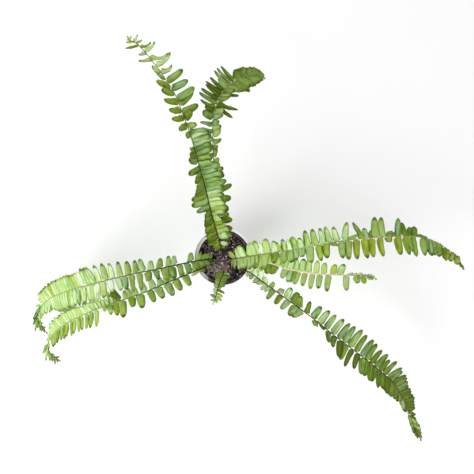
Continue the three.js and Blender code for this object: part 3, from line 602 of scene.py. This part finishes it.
fronds["frond_lower_right"] = dict(
    full=1.09, stalk=1.25, turn=0.85, taper=0.22, fresh=[0.4, -0.17, -0.36, -0.38],
    route="""
    13 -25 80, 29 -23 108, 54 -30 124, 87 -52 140, 118 -74 154, 180 -118 180, 236 -162 196, 288 -201 198,
    331 -236 184, 360 -263 166, 381 -295 144, 401 -332 118, 420 -372 90, 444 -411 66""",
    left="""
    66 23 14 32 4 4 v, 80 24 15 38 -5 0 v, 94 21 15 39 -8 0 v, 109 18 14.5 56 -3 4 p, 126 19 12 55 12 24 o,
    149 20 14.5 8 -12 10 w 110 9, 166 28 15.5 35 2 6 m, 184 28 17 34 1 2 d, 200 27 15 39 -16 6 o,
    220 28 13.5 36 -13 18 d, 236 32 14 30 2 12 b, 254 35 13.5 26 0 12 m, 270 36 13 23 -2 18 m,
    287 39 14 20 -1 10 m, 303 40 12 20 -3 14 b, 317 42 13 20 -6 10 b, 331 45 13 20 -4 6 g,
    347 42 12 19 -8 0 o, 363 42 13.5 19 -9 2 b, 375 40 13 18 -11 -2 o, 389 36 13 19 -10 -6 d,
    403 37 13.5 20 -7 2 g, 417 33 13 30 -17 -10 d, 429 38 13.5 22 -7 -6 g, 443 36 13.5 7 16 0 g,
    453 31 13.5 4 14 -4 b, 463 32 13.5 7 14 -2 d, 472 30 13 6 11 0 g, 482 29 14 -6 17 4 g,
    492 29 13.5 -12 24 4 g, 501 28 13.5 -5 22 6 d, 510 28 13.5 -4 25 6 d, 519 27 13.5 0 24 8 g,
    528 26 13.5 9 17 10 d, 537 25 13 1 30 10 d, 546 24 13 0 35 10 d, 555 23 12.5 -1 40 10 d,
    565 22 11 24 57 0 y, 577 20 11.5 43 59 4 y, 588 20 11 52 48 12 c, 599 22 10.5 47 46 12 y,
    610 22 10.5 51 50 16 c, 621 21 10.5 63 56 24 o, 633 19 9.5 81 62 28 o, 646 14 8.5 83 70 30 o""",
    right="""
    64 16 10.5 53 32 40 v, 76 16 11 55 22 28 p, 90 17 12 47 12 20 p, 102 18 13 63 1 20 v,
    113 20 12.5 45 9 22 v, 123 18 12.5 50 5 28 v, 134 27 13 33 7 18 g, 154 27 13.5 43 9 14 y,
    174 29 14 42 2 14 m, 193 28 17 40 7 4 m, 208 27 17.5 43 -12 0 l, 243 27 14.5 -9 32 22 d 110 9,
    262 29 14.5 92 10 -4 d, 278 31 13.5 59 27 -8 o, 294 32 13 57 15 -8 o, 309 38 14.5 43 23 8 d,
    323 36 14 36 7 6 o, 339 41 12 35 3 -10 d, 354 35 13 37 7 -2 d, 367 37 14.5 0 34 6 o, 379 34 14.5 1 30 8 d,
    392 36 14.5 8 34 6 d, 403 33 13.5 1 30 2 o, 414 38 13.5 15 38 -6 d, 425 33 15 19 41 10 o,
    435 32 14.5 18 37 8 y, 445 33 15 20 34 12 d, 456 31 15 21 37 14 y, 468 30 15 19 42 14 o,
    480 29 15 25 56 18 o, 492 29 14 26 66 10 y, 504 28 14 47 74 14 c, 516 29 14.5 70 56 30 c,
    530 26 14.5 67 71 30 o, 575 22 12.5 83 12 28 c, 590 24 12 81 11 28 c, 604 24 11.5 76 57 32 y,
    618 24 10 82 61 34 o, 640 13 9 72 61 24 o""")
fronds["frond_short"] = dict(
    full=1.0, stalk=1.1, turn=1.1, taper=0.15, fresh=[0.2, 0.25],
    route="""
    2 -26 80, 2 -32 116, -3 -45 150, -9 -61 172, -12 -77 180, -17 -92 177""",
    left="""
    44 16 12.5 26 34 -18 v, 52 15 12.5 29 39 -16 d, 62 17 13 32 38 -10 g, 73 17 13 33 38 -10 o,
    84 14 11.5 40 32 0 g, 92 16 10.5 40 27 6 o, 99 14 9 65 38 16 o, 107 19 8 33 26 26 d, 116 17 7 44 20 8 o,
    123 15 7.5 36 8 8 o, 129 10 7 59 8 14 o""",
    right="""
    47 16 11.5 38 49 -8 o, 57 18 12.5 40 47 -8 y, 68 19 12.5 41 44 -4 y, 78 19 12 47 42 0 y,
    88 19 11 54 40 4 l, 97 17 9.5 53 42 10 p, 106 15 8.5 57 39 6 v, 114 12 8 64 31 4 v,
    124 15 6.5 40 -19 12 d, 130 13 6 58 -3 0 m""")

stalk = dict(tip=0.95, sides=10, step=6, channel=0.45, channelFrom=0.75, channelHalf=0.35,
             bark=(0.05, 0.036, 0.014, 1), tan=(0.82, 0.71, 0.47, 1), green=(0.28, 0.31, 0.09, 1),
             end=(0.1, 0.1, 0.04, 1), rust=(0.36, 0.18, 0.09, 1), ragged=0.12)
# stray gives each looser value a channel of its own to draw from, and how far it may stray
leaflet = dict(thick=0.32, bend=14, hook=9, twistEnd=0.35, columns=4, fold=0.1, groove=0.35, ripple=0.4,
               foot=0.6, foldRun=1.1, waves=15, endRow=(8, 4, 0, 88, 8),
               stray=dict(width=(2, 0.05), bloomAndSheen=(3, 0.25), chance=(4, 0.5), hue=(5, 0.32), bend=(6, 6),
                          tone=(7, 0.1), ripple=(8, 0.6), phase=(9, 6)))
# share along the leaflet, then its front and back edge as shares of its width
outline = [(0, 0.1, -0.08), (0.05, 0.5, -0.38), (0.14, 0.56, -0.49), (0.36, 0.52, -0.52),
           (0.64, 0.5, -0.53), (0.84, 0.42, -0.45), (0.95, 0.26, -0.28), (1, 0.08, -0.09)]
# how far a shade goes from dark olive to lime, from blue-green to yellow, how much pale bloom and painted
# sheen it has, and how far it has withered
shades = dict(d=(0.13, 0.3, 0.02, 0), o=(0.4, 0.15, 0.07, 0), y=(0.52, 0.8, 0, 0),
              g=(0.43, 0, 0.17, 0), b=(0.26, -0.85, 0.26, 0), m=(0.67, -0.45, 0.45, 0),
              l=(0.9, 0.05, 0.24, 0), p=(1.02, 0, 0.62, 0), w=(0.85, 0.4, 0.9, 0.4),
              c=(0.98, 0.65, 0.5, 0), v=(1.3, -0.1, 1.9, 0))
leafKeys = ("tone", "hue", "bloomAndSheen", "worn", "chance")
leafLook = dict(mottle=0.22, paintedLitHalf=0.42, veins=95, veinSlant=7, veinShare=0.14, midribShare=0.4,
                underShare=0.3, sporeShare=0.75, through=0.28, glowShare=0.3, gloss=0.07,
                deep=(0.107, 0.181, 0.003, 1), green=(0.266, 0.426, 0.042, 1), lime=(0.455, 0.64, 0.16, 1),
                warm=(1.0, 0.87, 0.4, 1), cool=(0.68, 0.95, 1.6, 1), paleBloomSheen=(0.86, 0.95, 0.78, 1),
                vein=(0.45, 0.6, 0.18, 1), edge=(0.08, 0.125, 0.012, 1), under=(0.36, 0.5, 0.2, 1),
                spore=(0.16, 0.075, 0.025, 1), dead=(0.3, 0.17, 0.08, 1), glow=(0.5, 0.7, 0.06, 1))


def traceRoute(points, steps=40):
    # a smooth line through the points: its samples, and the distance of each along it
    ends = [2 * points[0] - points[1]] + points + [2 * points[-1] - points[-2]]
    samples = []
    for a, b, c, d in zip(ends, ends[1:], ends[2:], ends[3:]):
        for k in range(steps):
            t = k / steps
            cubic = 3 * (b - c) + d - a
            samples.append(b + 0.5 * t * ((c - a) + t * ((2 * a - 5 * b + 4 * c - d) + t * cubic)))
    samples.append(points[-1])
    distances = [0.0]
    for a, b in zip(samples, samples[1:]):
        distances.append(distances[-1] + (b - a).length)
    return samples, distances


def readRows(text):
    # numbers end in a digit, and other words are shades
    rows = [row.split() for row in text.split(",")]
    return [[float(word) if word[-1].isdigit() else word for word in row] for row in rows]


class Frond:
    def __init__(self, index, settings):
        self.index, self.settings = index, settings
        self.left, self.right, route = (readRows(settings[key]) for key in ("left", "right", "route"))
        self.samples, self.distances = traceRoute([Vector(point) for point in route])
        self.total = self.distances[-1]

    def at(self, distance):
        distance = min(max(distance, 0.0), self.total)
        low = min(bisect_right(self.distances, distance), len(self.distances) - 1) - 1
        start, end = self.distances[low:low + 2]
        return self.samples[low].lerp(self.samples[low + 1], (distance - start) / max(end - start, 1e-9))

    def axes(self, distance):
        along = (self.at(distance + 2) - self.at(distance - 2)).normalized()
        aside = along.cross(Vector((0, 0, 1))).normalized()
        return along, aside, aside.cross(along)

    def half(self, distance):
        # half the stalk's width
        root = self.settings["stalk"]
        return root + (stalk["tip"] - root) * (distance / self.total)


def leafMaterial(name, fromBelow):
    look = leafLook
    material, tree = startMaterial(name)
    leafMap = addNode(tree, "ShaderNodeUVMap", {"uv_map": "leaf"}).outputs[0]
    share, across, _ = addNode(tree, "ShaderNodeSeparateXYZ", Vector=leafMap).outputs
    tone, hue, bloomAndSheen, worn, chance = (readAttribute(tree, key) for key in leafKeys)

    def patches(scaleAlong, scaleAcross, shift, detail):
        # clouds that lie differently on every leaflet
        place = addNode(tree, "ShaderNodeCombineXYZ",
                        X=calc(tree, "MULTIPLY_ADD", share, scaleAlong, times(tree, chance, 41.0)),
                        Y=calc(tree, "MULTIPLY_ADD", across, scaleAcross, times(tree, chance, 23.0)),
                        Z=calc(tree, "MULTIPLY_ADD", chance, 67.0, shift))
        return grain(tree, 1.0, detail, place.outputs[0])

    # off is 0 on the midrib and 1 at the edges; side veins run forward from one to the other
    middle = calc(tree, "SUBTRACT", across, 0.5)
    off = times(tree, calc(tree, "ABSOLUTE", middle), 2.0)
    midrib = spread(tree, off, 0.13, 0.02)
    lengthwise = times(tree, share, look["veins"])
    phase = calc(tree, "SUBTRACT", lengthwise, times(tree, off, look["veinSlant"]))
    vein = spread(tree, calc(tree, "SINE", phase), 0.45, 1.0)

    # from dark olive over mid green to lime, with painted light making the front half a little lighter, then
    # warmer or cooler
    cloud = spread(tree, patches(2.2, 2.0, 0.0, 2.0), 0.3, 0.7, -1.0, 1.0)
    shade = calc(tree, "MULTIPLY_ADD", cloud, look["mottle"], tone)
    shade = calc(tree, "MULTIPLY_ADD", middle, look["paintedLitHalf"], shade)
    colour = blend(tree, spread(tree, shade, 0.0, 0.5), look["deep"], look["green"])
    colour = blend(tree, spread(tree, shade, 0.45, 1.0), colour, look["lime"])
    colour = blend(tree, calc(tree, "MAXIMUM", hue, 0.0), colour, look["warm"], "MULTIPLY")
    colour = blend(tree, times(tree, hue, -1.0), colour, look["cool"], "MULTIPLY")

    # pale bloom and painted sheen lie in soft streaks along the blade
    streaks = spread(tree, patches(1.6, 3.4, 9.0, 2.0), 0.36, 0.6)
    paleBloomSheen = times(tree, bloomAndSheen, streaks, spread(tree, off, 1.0, 0.5), spread(tree, share, 1.0, 0.72))
    colour = blend(tree, paleBloomSheen, colour, look["paleBloomSheen"])
    colour = blend(tree, times(tree, vein, look["veinShare"]), colour, look["vein"])
    colour = blend(tree, times(tree, midrib, look["midribShare"]), colour, look["vein"])
    if fromBelow:
        # spore dots stand in two rows near the edges
        colour = blend(tree, look["underShare"], colour, look["under"])
        row = spread(tree, calc(tree, "ABSOLUTE", calc(tree, "SUBTRACT", off, 0.72)), 0.11, 0.04)
        dots = spread(tree, calc(tree, "SINE", lengthwise), 0.2, 0.7)
        spores = times(tree, row, dots, spread(tree, share, 0.12, 0.3), look["sporeShare"])
        colour = blend(tree, spores, colour, look["spore"])

    # darker tips and edges, less so on the palest leaflets, and brown where it has withered
    edge = calc(tree, "MAXIMUM", spread(tree, share, 0.74, 0.93), spread(tree, off, 0.7, 1.0, 0.0, 0.65))
    depth = times(tree, edge, spread(tree, patches(0.0, 0.0, 5.0, 0.0), 0.35, 0.65, 0.35, 1.0),
                  spread(tree, bloomAndSheen, 0.5, 1.5, 1.0, 0.15))
    colour = blend(tree, depth, colour, look["edge"])
    colour = blend(tree, times(tree, worn, spread(tree, streaks, 0.0, 1.0, 0.6, 1.0)), colour, look["dead"])

    height = calc(tree, "SUBTRACT", times(tree, vein, 0.5), midrib)
    relief = bump(tree, height, 0.35, 0.0005)
    skin = addNode(tree, "ShaderNodeBsdfPrincipled", Base_Color=colour, Normal=relief,
                   Specular_IOR_Level=look["gloss"], Roughness=patchy(tree, 320, 3, 0.3, 0.7, 0.4, 0.55))
    glow = blend(tree, look["glowShare"], colour, look["glow"])
    light = addNode(tree, "ShaderNodeBsdfTranslucent", Color=glow, Normal=relief)
    both = addNode(tree, "ShaderNodeMixShader", Fac=look["through"])
    tree.links.new(skin.outputs[0], both.inputs[1])
    tree.links.new(light.outputs[0], both.inputs[2])
    finishMaterial(tree, both.outputs[0])
    return material


def stalkMaterial(name, turn):
    # brown near the root, then green, and darker again at the tip
    material, tree = startMaterial(name)
    share = readAttribute(tree, "share")
    ragged = calc(tree, "MULTIPLY_ADD", grain(tree, 60, 3), stalk["ragged"], share)
    if turn > 0:
        colour = blend(tree, spread(tree, ragged, turn - 0.2, turn + 0.25), stalk["bark"], stalk["green"])
        colour = blend(tree, spread(tree, share, 0.82, 0.97), colour, stalk["end"])
    else:
        # rusty scales on the pale lower part
        scaly = times(tree, patchy(tree, 240, 3, 0.48, 0.56), spread(tree, share, 0.6, 0.15, 0.3, 0.95))
        colour = blend(tree, scaly, stalk["tan"], stalk["rust"])
        colour = blend(tree, spread(tree, ragged, 0.65, 1.1), colour, stalk["green"])
    finishSurface(tree, colour, Roughness=0.6, Specular_IOR_Level=0.25,
                  Normal=bump(tree, grain(tree, 900, 2), 0.4, 0.0004))
    return material


def makeStalk(frond):
    # a ring is carried along the route; the upper side has a shallow channel
    bm = bmesh.new()
    share = bm.verts.layers.float.new("share")
    count = math.ceil(frond.total / stalk["step"])
    ring = bmesh.ops.create_circle(bm, cap_ends=False, segments=stalk["sides"], radius=1.0)["verts"]
    shape = [(v.co.x, v.co.y) for v in ring]
    edges = list(dict.fromkeys(edge for v in ring for edge in v.link_edges))
    channelFrom = stalk["channelFrom"]

    def place(verts, distance):
        along, aside, above = frond.axes(distance)
        half = frond.half(distance) * mm
        for v, (x, y) in zip(verts, shape):
            sunk = stalk["channel"] * max(0.0, y - channelFrom) / (1 - channelFrom)
            if abs(x) < stalk["channelHalf"]:
                y -= sunk
            v.co = frond.at(distance) * mm + aside * x * half + above * y * half
            v[share] = distance / frond.total

    order = list(ring)
    place(order, 0)
    bm.faces.new(order)
    for k in range(1, count + 1):
        made = bmesh.ops.extrude_edge_only(bm, edges=edges)["geom"]
        edges = [part for part in made if isinstance(part, bmesh.types.BMEdge)
                 and all(v not in order for v in part.verts)]
        fresh = [part for part in made if isinstance(part, bmesh.types.BMVert)]
        order = [next(v for v in fresh if any(e.other_vert(v) is old for e in v.link_edges)) for old in order]
        place(order, frond.total * k / count)
    bm.faces.new(order)
    bmesh.ops.recalc_face_normals(bm, faces=bm.faces)
    keepOrder(bm)
    return bm


def addLeaflet(bm, frond, number, side, row):
    # grown from a grid, a row of points at a time, on the left with side -1 and on the right with 1
    leafMap = bm.loops.layers.uv["leaf"]
    layers = [bm.verts.layers.float[key] for key in leafKeys]
    rows = len(outline) - 1
    distance, length, width = row[:3]
    lift, sweep, twist = (math.radians(value) for value in row[3:6])
    usual = leaflet["bend"], leaflet["hook"], frond.settings["taper"]
    bend, hook, taper = [*row[7:], *usual[len(row) - 7:]]

    def stray(key):
        channel, most = leaflet["stray"][key]
        return most * wobble(frond.index + 7 * channel, number, side * 5 + channel)

    bend, hook = math.radians(bend + stray("bend")), math.radians(hook)
    width = width * frond.settings["full"] * (1 + stray("width"))
    ripple = leaflet["ripple"] * (1 + stray("ripple"))
    phase = stray("phase")
    tone, hue, bloomAndSheen, worn = shades[row[6]]
    tone += between(frond.settings["fresh"], distance / frond.total) + stray("tone")
    looks = (tone, hue + stray("hue"), bloomAndSheen * (1 + stray("bloomAndSheen")), worn, stray("chance") + 0.5)

    along, aside, above = frond.axes(distance)
    sideways = aside * side
    level = sideways * math.cos(lift) + above * math.sin(lift)
    upper = above * math.cos(lift) - sideways * math.sin(lift)
    out = level * math.cos(sweep) + along * math.sin(sweep)
    ahead = along * math.cos(sweep) - level * math.sin(sweep)

    # the midrib leaves the stalk and bends down and forward
    point = frond.at(distance) + sideways * leaflet["foot"] * frond.half(distance)
    spine, last = [point.copy()], 0
    for share, front, back in outline[1:]:
        down, turn = bend * (share + last) / 2, hook * ((share + last) / 2) ** 2
        heading = (out * math.cos(down) * math.cos(turn) + ahead * math.sin(turn) * math.cos(down)
                   - upper * math.sin(down))
        point = point + heading * length * (share - last)
        spine.append(point.copy())
        last = share

    made = bmesh.ops.create_grid(bm, x_segments=rows, y_segments=leaflet["columns"], size=1.0)["verts"]
    faces = {face for v in made for face in v.link_faces}
    for v in made:
        step, across = round((v.co.x + 1) / 2 * rows), round(v.co.y * 2) / 2
        share, front, back = outline[step]
        for loop in v.link_loops:
            loop[leafMap].uv = (share, (across + 1) / 2)
        down, turn = bend * share, hook * share * share
        flatAhead = ahead * math.cos(turn) - out * math.sin(turn)
        face = upper * math.cos(down) + out * math.sin(down) * math.cos(turn)
        roll = twist * min(1.0, share / leaflet["twistEnd"])
        crossAxis = flatAhead * math.cos(roll) + face * math.sin(roll)
        faceAxis = face * math.cos(roll) - flatAhead * math.sin(roll)
        edgeAt = width * abs(across) * (front if across > 0 else back) * (1 - taper * share)
        folded = math.sin(math.pi * min(1, share * leaflet["foldRun"]))
        raised = -leaflet["fold"] * width * abs(across) * folded
        if across == 0 and 0 < step < rows:
            raised -= leaflet["groove"]
        raised += ripple * across * abs(across) * math.sin(leaflet["waves"] * share + phase)
        v.co = (spine[step] + crossAxis * edgeAt + faceAxis * raised) * mm
        for layer, value in zip(layers, looks):
            v[layer] = value
    if side < 0:
        bmesh.ops.reverse_faces(bm, faces=list(faces))


def makeLeaflets(frond):
    bm = bmesh.new()
    bm.loops.layers.uv.new("leaf")
    for key in leafKeys:
        bm.verts.layers.float.new(key)
    endRow = (frond.total - 1, *leaflet["endRow"], frond.right[-1][6])
    leaves = [(-1, row) for row in frond.left] + [(1, row) for row in frond.right + [endRow]]
    for number, (side, row) in enumerate(leaves):
        addLeaflet(bm, frond, number, side, row)
    return bm


def makeFronds():
    upperLook, underLook = leafMaterial("leafUpper", False), leafMaterial("leafUnder", True)
    for index, (name, settings) in enumerate(fronds.items()):
        frond = Frond(index, settings)
        newPiece(name + "_stalk", makeStalk(frond), [stalkMaterial(name + "Stalk", settings["turn"])],
                 "frond", name)
        leaves = newPiece(name + "_leaflets", makeLeaflets(frond), [upperLook, underLook], "frond")
        wall = leaves.modifiers.new("thickness", "SOLIDIFY")
        wall.thickness, wall.offset = leaflet["thick"] * mm, -1
        wall.material_offset, wall.material_offset_rim = 1, 1
        print(name, len(frond.left) + len(frond.right), "leaflets")


makeFronds()
print("fronds done")


# floor, light and camera
studio = dict(floorSize=7000, floorColour=(0.86, 0.86, 0.865, 1), floorPale=(0.88, 0.88, 0.88, 1), lens=50,
              cameraAt=(30.98, 44.29, 1546.36), clipEnd=50000, keyAt=(-1700, -1350, 1600), keySize=2200,
              keyPower=67, worldColour=(1, 1, 1, 1), worldStrength=0.89)


def makeFloor():
    material, tree = startMaterial("studioFloor")
    colour = blend(tree, patchy(tree, 1.2, 2, 0.3, 0.7), studio["floorColour"], studio["floorPale"])
    finishSurface(tree, colour, Roughness=0.9)
    bm = bmesh.new()
    bmesh.ops.create_grid(bm, x_segments=1, y_segments=1, size=studio["floorSize"] / 2 * mm)
    addObject("floor", makeMesh("floor", bm, [material]))


def makeLight():
    lamp = bpy.data.lights.new("softbox", "AREA")
    lamp.shape, lamp.size, lamp.energy = "SQUARE", studio["keySize"] * mm, studio["keyPower"]
    key = addObject("softbox", lamp)
    key.location = Vector(studio["keyAt"]) * mm
    key.rotation_euler = (-key.location).to_track_quat("-Z", "Y").to_euler()
    world = bpy.data.worlds.new("studioAir")
    world.use_nodes = True
    air = world.node_tree.nodes["Background"].inputs
    air["Color"].default_value = studio["worldColour"]
    air["Strength"].default_value = studio["worldStrength"]
    bpy.context.scene.world = world


def makeCamera():
    lens = bpy.data.cameras.new("camera")
    lens.lens, lens.clip_end = studio["lens"], studio["clipEnd"] * mm
    camera = addObject("camera", lens)
    camera.location = Vector(studio["cameraAt"]) * mm
    bpy.context.scene.camera = camera


makeFloor()
makeLight()
makeCamera()
bpy.context.scene.view_settings.view_transform = "Standard"
print("studio done")
